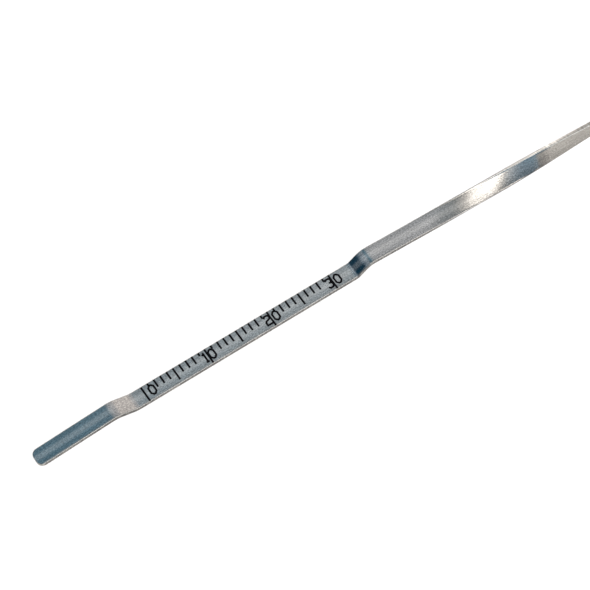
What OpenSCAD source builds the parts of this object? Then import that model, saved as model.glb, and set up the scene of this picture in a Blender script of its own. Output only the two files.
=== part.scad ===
// Measuring dipstick: a flat spring-steel strip with a millimetre scale in a joggled trough near
// its tip, a quarter twist, a sliding setting ring and a two-shell loop handle.
// +X runs along the stick from tip to handle, +Z is the side the scale faces, millimetres.

/* [Strip] */
// Width of the strip
strip_w = 2.5; // [2.2:0.1:3]
// Thickness of the strip
strip_t = 0.65; // [0.5:0.05:0.8]
// Bevel along the four long edges
strip_bevel = 0.1; // [0.05:0.01:0.15]
// Corner radius of the tip in plan
tip_r = 0.95; // [0.5:0.05:1.05]
// Distance from the tip to the zero line
tip_to_zero = 17; // [15:0.5:20]

/* [Trough] */
// How far the tongue's crest stands above the scale flat
tongue_step = 1.15; // [0.6:0.05:1.4]
// How far the shank's crest stands above the scale flat
shank_step = 1.53; // [0.8:0.01:1.7]
// Slope of the tongue, rise over run
tongue_slope = 0.08; // [0:0.01:0.1]
// Slope of the shank just after the trough, fall over run
shank_slope = 0.074; // [0.02:0.002:0.08]

/* [Twist] */
// Where the quarter twist starts, from the zero line
twist_x0 = 39.5; // [38:0.5:46]
// Where the quarter twist ends, from the zero line
twist_x1 = 82; // [76:1:84]

/* [Graduation] */
// Width of every graduation line
line_w = 0.28; // [0.2:0.02:0.3]
// Stroke width of the numerals
stroke_w = 0.28; // [0.2:0.01:0.3]
// Depth of the engraving
engrave = 0.06; // [0.04:0.01:0.1]
// Height of a numeral, centreline to centreline
numeral_h = 1.38; // [1.2:0.02:1.4]
// Width of a numeral, centreline to centreline
numeral_w = 0.8; // [0.7:0.02:0.84]

/* [Setting ring] */
// Radius of the ring's flange
ring_r = 5; // [4.6:0.1:6]
// Length of the flange along the stick
ring_l = 7; // [6:0.5:8]
// Radius of the nose that drops into a dipstick tube
nose_r = 3; // [2.8:0.1:3.5]
// Length of the nose
nose_l = 2.5; // [2:0.5:3]
// Centre of the flange at rest, from the zero line
ring_x = 99; // [96:1:110]
// Number of flutes round the flange
flutes = 24; // [16:2:28]

/* [Handle] */
// Outer radius of the finger loop
loop_r = 14; // [13:0.5:16]
// Radius of the finger hole
loop_hole_r = 9.5; // [9:0.25:9.75]
// Centre of the finger loop, from the zero line
loop_x = 174; // [172:1:180]
// Thickness of one handle shell
shell_t = 3.5; // [3:0.1:4]
// Half width of the handle's neck where the strip enters
neck_half_w = 3.6; // [3.4:0.1:4.5]

/* [Hidden] */

STEEL = "#b9bcc0";
INK = "#141414";
BRASS = "#b89a58";
MOULDED = "#1d1e20";

// Places along the stick are measured from the zero line. zero_x shifts them so that the
// finished stick is centred on the origin, and mid_z lifts the shank's centreline so that the
// handle and the ring's flats stand on z = 0.
tip_x = -tip_to_zero;
end_x = loop_x + loop_r;
zero_x = -(tip_x + end_x) / 2;
mid_z = shell_t;

// The trough's bends: [length of first bend, length of the straight ramp, length of second bend]
low_joggle = [1.4, 1.9, 1.0];
high_joggle = [0.7, 0.8, 1.6];
low_joggle_x = -5.7;
high_joggle_x = 33;
// The shank is level from here on
level_x = 82;

// A ramp's slope follows from its step height and the lengths of its two bends
low_run = low_joggle[0] / 2 + low_joggle[1] + low_joggle[2] / 2;
low_ramp = -(tongue_step + tongue_slope * low_joggle[0] / 2) / low_run;
high_run = high_joggle[0] / 2 + high_joggle[1] + high_joggle[2] / 2;
high_ramp = (shank_step + shank_slope * high_joggle[2] / 2) / high_run;

ferrule_r = 2.6;
ferrule_x0 = 139;
ferrule_flange = [3.2, 1];   // radius, length
socket_l = 4;
neck_x = 147;
tang_end_x = 158;
tang_pin_x = 154.5;
tang_pin_r = 0.6;
tang_pin_l = 5;

// Each knot is [place, slope]. Slope runs straight between knots, so the strip is a chain of
// flats and smooth bends.
SLOPE_KNOTS = [
    [tip_x, tongue_slope],
    [low_joggle_x, tongue_slope],
    [low_joggle_x + low_joggle[0], low_ramp],
    [low_joggle_x + low_joggle[0] + low_joggle[1], low_ramp],
    [low_joggle_x + low_joggle[0] + low_joggle[1] + low_joggle[2], 0],
    [high_joggle_x, 0],
    [high_joggle_x + high_joggle[0], high_ramp],
    [high_joggle_x + high_joggle[0] + high_joggle[1], high_ramp],
    [high_joggle_x + high_joggle[0] + high_joggle[1] + high_joggle[2], -shank_slope],
    [level_x, 0],
    [tang_end_x, 0]
];

// Slope of the centreline at x
function slope_at(x) = lookup(x, SLOPE_KNOTS);

// Rise of the centreline from one knot to the place x beyond it
function rise(i, x) = (SLOPE_KNOTS[i][1] + slope_at(x)) / 2 * (x - SLOPE_KNOTS[i][0]);

// Height of the centreline at x above its height at the tip
function climb(x, i = 0) =
    i + 1 == len(SLOPE_KNOTS) || x <= SLOPE_KNOTS[i + 1][0]
        ? rise(i, x)
        : rise(i, SLOPE_KNOTS[i + 1][0]) + climb(x, i + 1);

// Height of the strip's centreline at x above the shank's level stretch
function strip_z(x) = climb(x) - climb(level_x);

// Turn of the strip about its own length at x, in degrees
function smooth(u) = u * u * (3 - 2 * u);
function turn_at(x) = 90 * smooth(min(max((x - twist_x0) / (twist_x1 - twist_x0), 0), 1));

// Half width of the strip at x: full, except round the tip's corners
function half_width(x) =
    let (d = min(x - tip_x, tip_r))
    strip_w / 2 - tip_r + sqrt(tip_r * tip_r - (tip_r - d) * (tip_r - d));

// Places along the strip where a cross-section is taken
TIP_STEPS = 6;
BEND_STEPS = 5;
SHANK_STEPS = 6;
TWIST_STEPS = 30;
function spread(a, b, n) = [for (i = [0 : n - 1]) a + (b - a) * i / n];
function tip_place(i) = tip_x + tip_r * (1 - cos(90 * i / TIP_STEPS));
STATIONS = concat(
    [for (i = [0 : TIP_STEPS]) tip_place(i)],
    spread(SLOPE_KNOTS[1][0], SLOPE_KNOTS[2][0], BEND_STEPS),
    [SLOPE_KNOTS[2][0]],
    spread(SLOPE_KNOTS[3][0], SLOPE_KNOTS[4][0], BEND_STEPS),
    [SLOPE_KNOTS[4][0]],
    spread(SLOPE_KNOTS[5][0], SLOPE_KNOTS[6][0], BEND_STEPS),
    [SLOPE_KNOTS[6][0]],
    spread(SLOPE_KNOTS[7][0], SLOPE_KNOTS[8][0], BEND_STEPS),
    spread(SLOPE_KNOTS[8][0], twist_x0, SHANK_STEPS),
    spread(twist_x0, twist_x1, TWIST_STEPS),
    [twist_x1, tang_end_x]
);

// The strip's bevelled section as [across, up] corners, from its half sizes and its bevel
function section(hw, ht, b) = [
    [hw - b, ht], [hw, ht - b], [hw, b - ht], [hw - b, -ht],
    [b - hw, -ht], [-hw, b - ht], [-hw, ht - b], [b - hw, ht]
];
CORNERS = 8;

// One ring of points across the strip at x
function ring_at(x) =
    let (
        s = slope_at(x),
        up = [-s, 0, 1] / norm([-s, 0, 1]),
        across = [0, 1, 0],
        a = turn_at(x),
        w = cos(a) * across + sin(a) * up,
        t = cos(a) * up - sin(a) * across,
        centre = [x, 0, strip_z(x)]
    )
    [for (c = section(half_width(x), strip_t / 2, strip_bevel)) centre + c[0] * w + c[1] * t];

// Lift of the scale flat's centreline above the shank's level stretch
flat_z = strip_z(0);

// Graduation: how far each kind of line reaches in from the far edge, as shares of the width
FIVE_REACH = 0.8;
UNIT_REACH = 0.52;
SHORT_REACH = 0.24;
// Lines beside a numeral are short
SHORT_UNITS = [1, 9, 11, 19, 21, 29];
SCALE_LENGTH = 30;
// Distance between two ten lines, and from a ten line to the five line after it
TEN = 10;
FIVE = TEN / 2;
// Distance from the strip's far edge to a numeral's middle
numeral_drop = 1.2;
// Distance between the two figures of a number
numeral_pitch = 1.32;
// Where each numeral's first figure stands from its own ten line
ZERO_SHIFT = 1.13;
PAIR_SHIFT = -0.52;
// A leading 1 is narrow, so it stands closer, and so does the figure after it
ONE_NUDGE = 0.04;
ONE_PITCH = 1.08;

// The upper scale that the setting ring is read against
SETTING_X = 86;
SETTING_LENGTH = 50;
SETTING_STEP = 5;
SETTING_REACH = 0.5;
SETTING_TEN_REACH = 0.8;
setting_numeral_shift = 1.35;

// Single-stroke figures in a box one wide and one high
FIGURES = [
    [[[0.35, 0], [0.65, 0], [1, 0.22], [1, 0.78], [0.65, 1], [0.35, 1], [0, 0.78], [0, 0.22]]],
    [[[0.5, 1.09], [0.5, 0]], [[0.14, 0.82], [0.5, 0.97]], [[0.2, 0], [0.78, 0]]],
    [[[0, 0.82], [0.28, 1], [0.75, 1], [1, 0.84], [1, 0.66], [0.75, 0.54], [0.22, 0.46],
      [0, 0.32], [0, 0], [1, 0]]],
    [[[0, 0.84], [0.25, 1], [0.75, 1], [1, 0.84], [1, 0.66], [0.75, 0.53], [0.45, 0.53]],
     [[0.45, 0.53], [0.75, 0.53], [1, 0.4], [1, 0.18], [0.75, 0], [0.25, 0], [0, 0.16]]],
    [[[0.7, 0], [0.7, 1]], [[0.66, 0.98], [0, 0.34], [1, 0.34]]],
    [[[1, 1], [0, 1], [0, 0.58], [0.75, 0.58], [1, 0.42], [1, 0.18], [0.75, 0], [0.25, 0],
      [0, 0.14]]]
];

friction_pad_r = 1;
friction_pad_l = 1.2;
slide_gap = 0.03;
pad_gap = 0.02;
grub_l = 1.5;
grub_sink = 0.3;
grub_socket = [0.5, 0.8];    // radius, depth
pad_y0 = strip_t / 2 + pad_gap;
spring_y0 = pad_y0 + friction_pad_l;
grub_y1 = ring_r - grub_sink;
grub_y0 = grub_y1 - grub_l;
spring_turns = 4;
spring_wire_r = 0.14;
spring_r = 0.75;
SPRING_SIDES = 6;
SPRING_STEPS = 14;
flute_r = 0.35;
ring_chamfer = 0.5;

screw_r = 0.8;
screw_head = [1.5, 1];       // radius, height
screw_head_sink = 0.3;
screw_top = 2.2;
cross_slot = [1.7, 0.36, 0.5];   // length, width, depth
insert_r = 1.3;
insert_l = 2.4;
loop_screw_angle = 52;
neck_screw_x = 162;
shell_chamfer = 0.8;
neck_meet = [164, 7.5];      // where the neck runs into the loop: place, half width
ROUND = 96;
// How far a cut starts outside the solid it goes into
OVER = 1;

// Where the three handle screws stand
SCREW_PLACES = [
    [neck_screw_x, 0],
    [loop_x + (loop_r + loop_hole_r) / 2 * cos(loop_screw_angle),
     (loop_r + loop_hole_r) / 2 * sin(loop_screw_angle)],
    [loop_x + (loop_r + loop_hole_r) / 2 * cos(loop_screw_angle),
     -(loop_r + loop_hole_r) / 2 * sin(loop_screw_angle)]
];

function lines_at(step, length) = [for (i = [0 : step : length]) i];
function has(list, v) = len(search(v, list)) > 0;

// Moves a module drawn about the zero line and the shank's centreline to its place
module place() {
    translate([zero_x, 0, mid_z]) children();
}

// A cylinder along +X from x0
module rod_x(x0, r, l) {
    translate([x0, 0, 0]) rotate([0, 90, 0]) cylinder(r = r, h = l, $fn = ROUND);
}

// Offset direction of a polyline at its point i, open or closed
function left_of(v) = [-v[1], v[0]] / norm(v);
function side_before(p, i, closed) =
    i > 0 ? left_of(p[i] - p[i - 1]) : closed ? left_of(p[0] - p[len(p) - 1]) : left_of(p[1] - p[0]);
function side_after(p, i, closed) =
    i < len(p) - 1
        ? left_of(p[i + 1] - p[i])
        : closed ? left_of(p[0] - p[i]) : left_of(p[i] - p[i - 1]);
function mitre(p, i, closed) =
    let (a = side_before(p, i, closed), b = side_after(p, i, closed))
    (a + b) / (1 + a * b);
function shifted(p, d, closed) = [for (i = [0 : len(p) - 1]) p[i] + d * mitre(p, i, closed)];
function backwards(p) = [for (i = [len(p) - 1 : -1 : 0]) p[i]];

// A pen stroke of width w along a polyline
module pen(p, w) {
    polygon(concat(shifted(p, w / 2, false), backwards(shifted(p, -w / 2, false))));
}

// A pen stroke of width w round a closed outline
module pen_loop(p, w) {
    difference() {
        polygon(shifted(p, -w / 2, true));
        polygon(shifted(p, w / 2, true));
    }
}

// One figure, centred on the origin
module figure(digit) {
    for (path = FIGURES[digit]) {
        p = [for (q = path) [(q[0] - 0.5) * numeral_w, (q[1] - 0.5) * numeral_h]];
        if (digit == 0) {
            pen_loop(p, stroke_w);
        } else {
            pen(p, stroke_w);
        }
    }
}

// A two-figure number; the leading one stands a little closer than a full figure
module pair(tens) {
    translate([PAIR_SHIFT + (tens == 1 ? ONE_NUDGE : 0), 0]) figure(tens);
    translate([PAIR_SHIFT + (tens == 1 ? ONE_PITCH : numeral_pitch), 0]) figure(0);
}

// One graduation line at x, reaching in from the far edge by a share of the width
module line(x, reach) {
    translate([x - line_w / 2, strip_w / 2 - reach * strip_w]) square([line_w, reach * strip_w]);
}

// Lays a drawing in the scale flat's top surface, engraved to the given depth
module on_flat() {
    translate([0, 0, flat_z + strip_t / 2 - engrave]) linear_extrude(engrave) children();
}

// Lays a drawing in the side of the on-edge shank that continues the scale face
module on_shank() {
    translate([0, -strip_t / 2 + engrave, 0]) rotate([90, 0, 0]) linear_extrude(engrave) children();
}

module tens_drawing() {
    for (x = lines_at(TEN, SCALE_LENGTH)) line(x, 1);
}

module fives_drawing() {
    for (x = lines_at(TEN, SCALE_LENGTH - TEN)) line(x + FIVE, FIVE_REACH);
}

module units_drawing() {
    for (x = lines_at(1, SCALE_LENGTH)) {
        if (x % FIVE != 0) line(x, has(SHORT_UNITS, x) ? SHORT_REACH : UNIT_REACH);
    }
}

// The number that belongs to a ten line, without the strip of that line itself
module numeral_drawing(tens) {
    difference() {
        translate([tens * TEN, strip_w / 2 - numeral_drop]) {
            if (tens == 0) {
                translate([ZERO_SHIFT, 0]) figure(0);
            } else {
                pair(tens);
            }
        }
        tens_drawing();
    }
}

module setting_lines_drawing() {
    for (x = lines_at(SETTING_STEP, SETTING_LENGTH)) {
        line(SETTING_X + x, x % TEN == 0 ? SETTING_TEN_REACH : SETTING_REACH);
    }
}

module setting_numerals_drawing() {
    for (n = [0 : SETTING_LENGTH / TEN]) {
        translate([SETTING_X + n * TEN + setting_numeral_shift, strip_w / 2 - numeral_drop]) {
            if (n == 0) {
                figure(0);
            } else {
                figure(n);
                translate([n == 1 ? ONE_PITCH : numeral_pitch, 0]) figure(0);
            }
        }
    }
}

// The whole strip as one swept solid
module strip() {
    rings = [for (x = STATIONS) ring_at(x)];
    n = len(rings);
    points = [for (r = rings) for (p = r) p];
    walls = [
        for (i = [0 : n - 2]) for (k = [0 : CORNERS - 1])
            let (m = (k + 1) % CORNERS)
            [i * CORNERS + k, i * CORNERS + m, (i + 1) * CORNERS + m, (i + 1) * CORNERS + k]
    ];
    tip_face = [for (k = [CORNERS - 1 : -1 : 0]) k];
    tang_face = [for (k = [0 : CORNERS - 1]) (n - 1) * CORNERS + k];
    polyhedron(points = points, faces = concat(walls, [tip_face], [tang_face]), convexity = 4);
}

module blade() {
    color(STEEL) place() difference() {
        strip();
        on_flat() {
            tens_drawing();
            fives_drawing();
            units_drawing();
            for (t = [0 : 3]) numeral_drawing(t);
        }
        on_shank() {
            setting_lines_drawing();
            setting_numerals_drawing();
        }
        translate([tang_pin_x, strip_w, 0]) rotate([90, 0, 0])
            cylinder(r = tang_pin_r, h = 2 * strip_w, $fn = ROUND);
    }
}

// Paint that fills the engraving on the scale flat, cut to the strip's own bevels
module flat_paint() {
    color(INK) place() intersection() {
        strip();
        on_flat() children();
    }
}

// Paint that fills the engraving on the shank
module shank_paint() {
    color(INK) place() intersection() {
        strip();
        on_shank() children();
    }
}

module tens_lines() { flat_paint() tens_drawing(); }
module five_lines() { flat_paint() fives_drawing(); }
module unit_lines() { flat_paint() units_drawing(); }
module numeral_0() { flat_paint() numeral_drawing(0); }
module numeral_10() { flat_paint() numeral_drawing(1); }
module numeral_20() { flat_paint() numeral_drawing(2); }
module numeral_30() { flat_paint() numeral_drawing(3); }
module setting_lines() { shank_paint() setting_lines_drawing(); }
module setting_numerals() { shank_paint() setting_numerals_drawing(); }

// A cylinder along +Y from y0
module rod_y(x, y0, r, l) {
    translate([x, y0, 0]) rotate([-90, 0, 0]) cylinder(r = r, h = l, $fn = ROUND);
}

// The collar that sets the depth: fluted flange with two flats, and a nose for the tube's mouth
module setting_ring() {
    color(BRASS) place() difference() {
        union() {
            intersection() {
                translate([ring_x - ring_l / 2, 0, 0]) rotate([90, 0, 90]) rotate_extrude($fn = ROUND)
                    polygon([
                        [0, 0], [ring_r - ring_chamfer, 0], [ring_r, ring_chamfer],
                        [ring_r, ring_l - ring_chamfer], [ring_r - ring_chamfer, ring_l], [0, ring_l]
                    ]);
                translate([ring_x - ring_l, -2 * ring_r, -shell_t])
                    cube([2 * ring_l, 4 * ring_r, 2 * shell_t]);
            }
            translate([ring_x - ring_l / 2 - nose_l, 0, 0]) rotate([90, 0, 90])
                rotate_extrude($fn = ROUND)
                    polygon([
                        [0, 0], [nose_r - ring_chamfer, 0], [nose_r, ring_chamfer],
                        [nose_r, nose_l + ring_chamfer], [0, nose_l + ring_chamfer]
                    ]);
        }
        // Slot that rides on the strip
        translate([ring_x - ring_l, -strip_t / 2 - slide_gap, -strip_w / 2 - slide_gap])
            cube([2 * ring_l, strip_t + 2 * slide_gap, strip_w + 2 * slide_gap]);
        // Bore for the friction pad, its spring and the grub screw
        rod_y(ring_x, 0, friction_pad_r, 2 * ring_r);
        // Flutes
        for (i = [0 : flutes - 1]) {
            a = 360 * (i + 0.5) / flutes;
            side = ring_r * cos(a);
            up = ring_r * sin(a);
            if (abs(up) < shell_t - flute_r && abs(up) > friction_pad_r)
                translate([0, side, up]) rod_x(ring_x - ring_l, flute_r, 2 * ring_l);
        }
    }
}

module friction_pad() {
    color(BRASS) place() rod_y(ring_x, pad_y0, friction_pad_r, friction_pad_l);
}

// One cross-section ring of the coil spring's wire
function coil_ring(i, last, y0, y1) =
    let (
        a = 360 * spring_turns * i / last,
        y = y0 + spring_wire_r + (y1 - y0 - 2 * spring_wire_r) * i / last
    )
    [
        for (k = [0 : SPRING_SIDES - 1])
            let (b = 360 * k / SPRING_SIDES, r = spring_r + spring_wire_r * cos(b))
            [ring_x + r * cos(a), y + spring_wire_r * sin(b), r * sin(a)]
    ];

module pad_spring() {
    last = spring_turns * SPRING_STEPS;
    points = [for (i = [0 : last]) for (p = coil_ring(i, last, spring_y0, grub_y0)) p];
    walls = [
        for (i = [0 : last - 1]) for (k = [0 : SPRING_SIDES - 1])
            let (m = (k + 1) % SPRING_SIDES)
            [i * SPRING_SIDES + m, i * SPRING_SIDES + k, (i + 1) * SPRING_SIDES + k,
             (i + 1) * SPRING_SIDES + m]
    ];
    start_face = [for (k = [0 : SPRING_SIDES - 1]) k];
    finish_face = [for (k = [SPRING_SIDES - 1 : -1 : 0]) last * SPRING_SIDES + k];
    color(STEEL) place()
        polyhedron(points = points, faces = concat(walls, [start_face], [finish_face]), convexity = 6);
}

module grub_screw() {
    color(STEEL) place() difference() {
        rod_y(ring_x, grub_y0, friction_pad_r, grub_l);
        translate([ring_x, grub_y1 - grub_socket[1], 0]) rotate([-90, 0, 0])
            cylinder(r = grub_socket[0], h = 2 * grub_socket[1], $fn = 6);
    }
}

// Sleeve crimped on the strip where it enters the handle
module ferrule() {
    color(STEEL) place() difference() {
        union() {
            translate([ferrule_x0, 0, 0]) rotate([90, 0, 90]) rotate_extrude($fn = ROUND)
                polygon([
                    [0, 0], [ferrule_r - ring_chamfer, 0], [ferrule_r, ring_chamfer],
                    [ferrule_r, neck_x + socket_l - ferrule_x0], [0, neck_x + socket_l - ferrule_x0]
                ]);
            rod_x(neck_x - ferrule_flange[1], ferrule_flange[0], ferrule_flange[1]);
        }
        translate([ferrule_x0 - OVER, -strip_t / 2, -strip_w / 2])
            cube([neck_x + socket_l - ferrule_x0 + 2 * OVER, strip_t, strip_w]);
    }
}

module tang_pin() {
    color(STEEL) place() rod_y(tang_pin_x, -tang_pin_l / 2, tang_pin_r, tang_pin_l);
}

// Half of the handle from the parting plane up: a loop with a neck
module shell_solid() {
    difference() {
        union() {
            translate([loop_x, 0, 0]) rotate_extrude($fn = ROUND)
                polygon([
                    [0, 0], [loop_r, 0], [loop_r, shell_t - shell_chamfer],
                    [loop_r - shell_chamfer, shell_t], [0, shell_t]
                ]);
            linear_extrude(shell_t) polygon([
                [neck_x, -neck_half_w], [neck_meet[0], -neck_meet[1]], [loop_x, -neck_meet[1]],
                [loop_x, neck_meet[1]], [neck_meet[0], neck_meet[1]], [neck_x, neck_half_w]
            ]);
        }
        translate([loop_x, 0, 0]) rotate_extrude($fn = ROUND)
            polygon([
                [0, -OVER], [loop_hole_r, -OVER], [loop_hole_r, shell_t - shell_chamfer],
                [loop_hole_r + shell_chamfer, shell_t], [loop_hole_r + shell_chamfer, shell_t + OVER],
                [0, shell_t + OVER]
            ]);
        // Socket for the ferrule, slot for the tang and groove for its pin
        rod_x(neck_x - OVER, ferrule_r, socket_l + OVER);
        translate([neck_x, -strip_t / 2, -strip_w / 2]) cube([tang_end_x - neck_x, strip_t, strip_w]);
        rod_y(tang_pin_x, -tang_pin_l / 2, tang_pin_r, tang_pin_l);
    }
}

module handle_top() {
    color(MOULDED) place() difference() {
        shell_solid();
        for (p = SCREW_PLACES) translate([p[0], p[1], -OVER])
            cylinder(r = insert_r, h = insert_l + OVER, $fn = ROUND);
    }
}

module handle_bottom() {
    color(MOULDED) place() difference() {
        mirror([0, 0, 1]) shell_solid();
        for (p = SCREW_PLACES) {
            translate([p[0], p[1], -2 * shell_t]) cylinder(r = screw_r, h = 3 * shell_t, $fn = ROUND);
            translate([p[0], p[1], -2 * shell_t])
                cylinder(r = screw_head[0], h = shell_t + screw_head[1] + screw_head_sink, $fn = ROUND);
        }
    }
}

// One cross-slotted screw, head down on the origin
module screw() {
    difference() {
        union() {
            cylinder(r = screw_head[0], h = screw_head[1], $fn = ROUND);
            cylinder(r = screw_r, h = shell_t - screw_head_sink + screw_top, $fn = ROUND);
        }
        for (turn = [0, 90]) rotate(turn)
            translate([-cross_slot[0] / 2, -cross_slot[1] / 2, -cross_slot[2]])
                cube([cross_slot[0], cross_slot[1], 2 * cross_slot[2]]);
    }
}

// Three screws that pull the shells together from below
module handle_screws() {
    color(STEEL) place() for (p = SCREW_PLACES) {
        translate([p[0], p[1], screw_head_sink - shell_t]) screw();
    }
}

// Knurled inserts in the top shell, drawn plain, that the screws bite into
module screw_inserts() {
    color(BRASS) place() for (p = SCREW_PLACES) translate([p[0], p[1], 0]) difference() {
        cylinder(r = insert_r, h = insert_l, $fn = ROUND);
        translate([0, 0, -OVER]) cylinder(r = screw_r, h = screw_top + OVER, $fn = ROUND);
    }
}

blade();
tens_lines();
five_lines();
unit_lines();
numeral_0();
numeral_10();
numeral_20();
numeral_30();
setting_lines();
setting_numerals();
setting_ring();
friction_pad();
pad_spring();
grub_screw();
ferrule();
tang_pin();
handle_top();
handle_bottom();
handle_screws();
screw_inserts();
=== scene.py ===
import math

import bmesh
import bpy
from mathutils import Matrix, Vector


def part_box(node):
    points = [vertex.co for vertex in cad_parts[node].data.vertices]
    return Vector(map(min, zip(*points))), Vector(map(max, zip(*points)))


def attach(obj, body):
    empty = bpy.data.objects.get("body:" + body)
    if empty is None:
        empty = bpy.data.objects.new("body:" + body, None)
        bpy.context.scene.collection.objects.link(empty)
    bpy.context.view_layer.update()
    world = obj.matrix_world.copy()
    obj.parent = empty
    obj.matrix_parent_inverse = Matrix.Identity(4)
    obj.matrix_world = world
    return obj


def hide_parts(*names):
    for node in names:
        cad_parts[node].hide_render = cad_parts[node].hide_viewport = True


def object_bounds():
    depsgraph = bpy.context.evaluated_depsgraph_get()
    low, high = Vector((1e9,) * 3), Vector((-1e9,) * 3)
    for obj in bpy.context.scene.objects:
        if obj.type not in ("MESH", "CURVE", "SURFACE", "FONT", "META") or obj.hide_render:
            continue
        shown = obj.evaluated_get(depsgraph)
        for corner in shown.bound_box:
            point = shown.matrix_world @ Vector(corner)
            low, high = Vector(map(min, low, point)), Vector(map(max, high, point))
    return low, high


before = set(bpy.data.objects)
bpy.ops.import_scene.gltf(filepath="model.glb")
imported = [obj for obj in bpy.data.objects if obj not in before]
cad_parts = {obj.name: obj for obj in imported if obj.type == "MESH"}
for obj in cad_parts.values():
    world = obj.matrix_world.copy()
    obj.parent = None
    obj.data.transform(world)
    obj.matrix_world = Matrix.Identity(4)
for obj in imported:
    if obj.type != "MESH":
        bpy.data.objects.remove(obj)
cad_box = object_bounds()

MM = 0.001

# ---------------------------------------------------------------- places taken from the frame
LINE_W = 0.28 * MM
BLADE_LOW, BLADE_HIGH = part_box("blade")
ZERO_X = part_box("tens_lines")[0].x + LINE_W / 2
FLAT_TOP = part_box("tens_lines")[1].z
SHANK_Z = sum(c.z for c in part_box("ferrule")) / 2
TIP_X = BLADE_LOW.x
TANG_X = BLADE_HIGH.x
STRIP_W = BLADE_HIGH.y - BLADE_LOW.y
STRIP_T = 0.65 * MM

# ---------------------------------------------------------------- the strip's own shape
EDGE_R = 0.10 * MM
TIP_R = 0.95 * MM
# The rest is in mm from the zero line and mm of rise per mm; a bend is (first curve, ramp, second curve)
LOW_STEP = 1.15
HIGH_STEP = 1.53
TONGUE_SLOPE = 0.08
SHANK_SLOPE = 0.074
LOW_BEND = (1.4, 1.9, 1.0)
HIGH_BEND = (0.7, 0.8, 1.6)
LOW_X = -5.7
HIGH_X = 33.0
LEVEL_X = 82.0
TWIST_FROM = 39.5
TWIST_TO = 82.0


def ramp_run(bend):
    """Length over which a joggle climbs at its full slope, with half of each bend counted."""
    return bend[0] / 2 + bend[1] + bend[2] / 2


LOW_RAMP = -(LOW_STEP + TONGUE_SLOPE * LOW_BEND[0] / 2) / ramp_run(LOW_BEND)
HIGH_RAMP = (HIGH_STEP + SHANK_SLOPE * HIGH_BEND[2] / 2) / ramp_run(HIGH_BEND)


def knots():
    """The strip as (place in mm from the zero line, slope); the slope runs straight between them."""
    rows = [((TIP_X - ZERO_X) / MM, TONGUE_SLOPE)]
    for start, bend, before, ramp, after in (
        (LOW_X, LOW_BEND, TONGUE_SLOPE, LOW_RAMP, 0.0),
        (HIGH_X, HIGH_BEND, 0.0, HIGH_RAMP, -SHANK_SLOPE),
    ):
        rows.append((start, before))
        rows.append((start + bend[0], ramp))
        rows.append((start + bend[0] + bend[1], ramp))
        rows.append((start + sum(bend), after))
    rows.append((LEVEL_X, 0.0))
    rows.append(((TANG_X - ZERO_X) / MM, 0.0))
    return rows


KNOTS = knots()


def slope_at(x):
    for (xa, sa), (xb, sb) in zip(KNOTS, KNOTS[1:]):
        if x <= xb:
            return sa + (sb - sa) * (x - xa) / (xb - xa)
    return KNOTS[-1][1]


def climb(x):
    """Rise of the strip's centreline from its tip to x, in mm."""
    total = 0.0
    for (xa, sa), (xb, _) in zip(KNOTS, KNOTS[1:]):
        end = min(x, xb)
        if end <= xa:
            break
        total += (sa + slope_at(end)) / 2 * (end - xa)
    return total


def centre(x):
    """Point of the strip's centreline at x mm from the zero line, in metres."""
    return Vector((ZERO_X + x * MM, 0, SHANK_Z + (climb(x) - climb(LEVEL_X)) * MM))


def turn_at(x):
    u = min(max((x - TWIST_FROM) / (TWIST_TO - TWIST_FROM), 0.0), 1.0)
    return math.radians(90) * u * u * (3 - 2 * u)


# ---------------------------------------------------------------- small mesh helpers
def make_object(name, bm):
    mesh = bpy.data.meshes.new(name)
    bm.to_mesh(mesh)
    bm.free()
    obj = bpy.data.objects.new(name, mesh)
    bpy.context.scene.collection.objects.link(obj)
    return obj


def loft(bm, rings, wrap=False):
    """Skins a list of closed rings of points; wrap joins the last ring to the first, instead of caps."""
    rows = [[bm.verts.new(p) for p in ring] for ring in rings]
    count = len(rows[0])
    for a, b in zip(rows, rows[1:] + rows[:1] if wrap else rows[1:]):
        for k in range(count):
            m = (k + 1) % count
            bm.faces.new((a[k], a[m], b[m], b[k]))
    if not wrap:
        bm.faces.new(list(reversed(rows[0])))
        bm.faces.new(rows[-1])


def turned(name, profile, count, shape):
    """Turns a profile of (x, radius) points about the shank's centreline; shape changes each radius."""
    rings = []
    for x, r in profile:
        ring = []
        for k in range(count):
            a = 2 * math.pi * k / count
            d = shape(x, r, a)
            ring.append(Vector((x, d * math.cos(a), SHANK_Z + d * math.sin(a))))
        rings.append(ring)
    bm = bmesh.new()
    loft(bm, rings)
    return make_object(name, bm)


FILLET_STEPS = 5


def rounded(corners):
    """A profile of (x, r) points from corners of (x, r, fillet radius)."""
    points = []
    for i, (x, r, fillet) in enumerate(corners):
        if fillet == 0:
            points.append((x, r))
            continue
        corner = Vector((x, r))
        back = (Vector(corners[i - 1][:2]) - corner).normalized()
        ahead = (Vector(corners[i + 1][:2]) - corner).normalized()
        half = back.angle(ahead) / 2
        middle = corner + (back + ahead).normalized() * fillet / math.sin(half)
        start = corner + back * fillet / math.tan(half) - middle
        end = corner + ahead * fillet / math.tan(half) - middle
        for k in range(FILLET_STEPS + 1):
            spoke = start.lerp(end, k / FILLET_STEPS).normalized() * fillet
            points.append(tuple(middle + spoke))
    return points


UPRIGHT_STEPS = 72
ROD_STEPS = 64


def upright(bm, x, y, profile):
    """Adds a solid turned about a vertical axis, from a profile of (z, radius) points."""
    turns = [2 * math.pi * (k + 0.25) / UPRIGHT_STEPS for k in range(UPRIGHT_STEPS)]
    loft(bm, [[Vector((x + r * math.cos(a), y + r * math.sin(a), z)) for a in turns] for z, r in profile])


def box_cutter(low, high):
    """A box between two corners."""
    bm = bmesh.new()
    bmesh.ops.create_cube(bm, size=1.0)
    for v in bm.verts:
        v.co = Vector(high[i] if v.co[i] > 0 else low[i] for i in range(3))
    return make_object("cut_box", bm)


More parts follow.
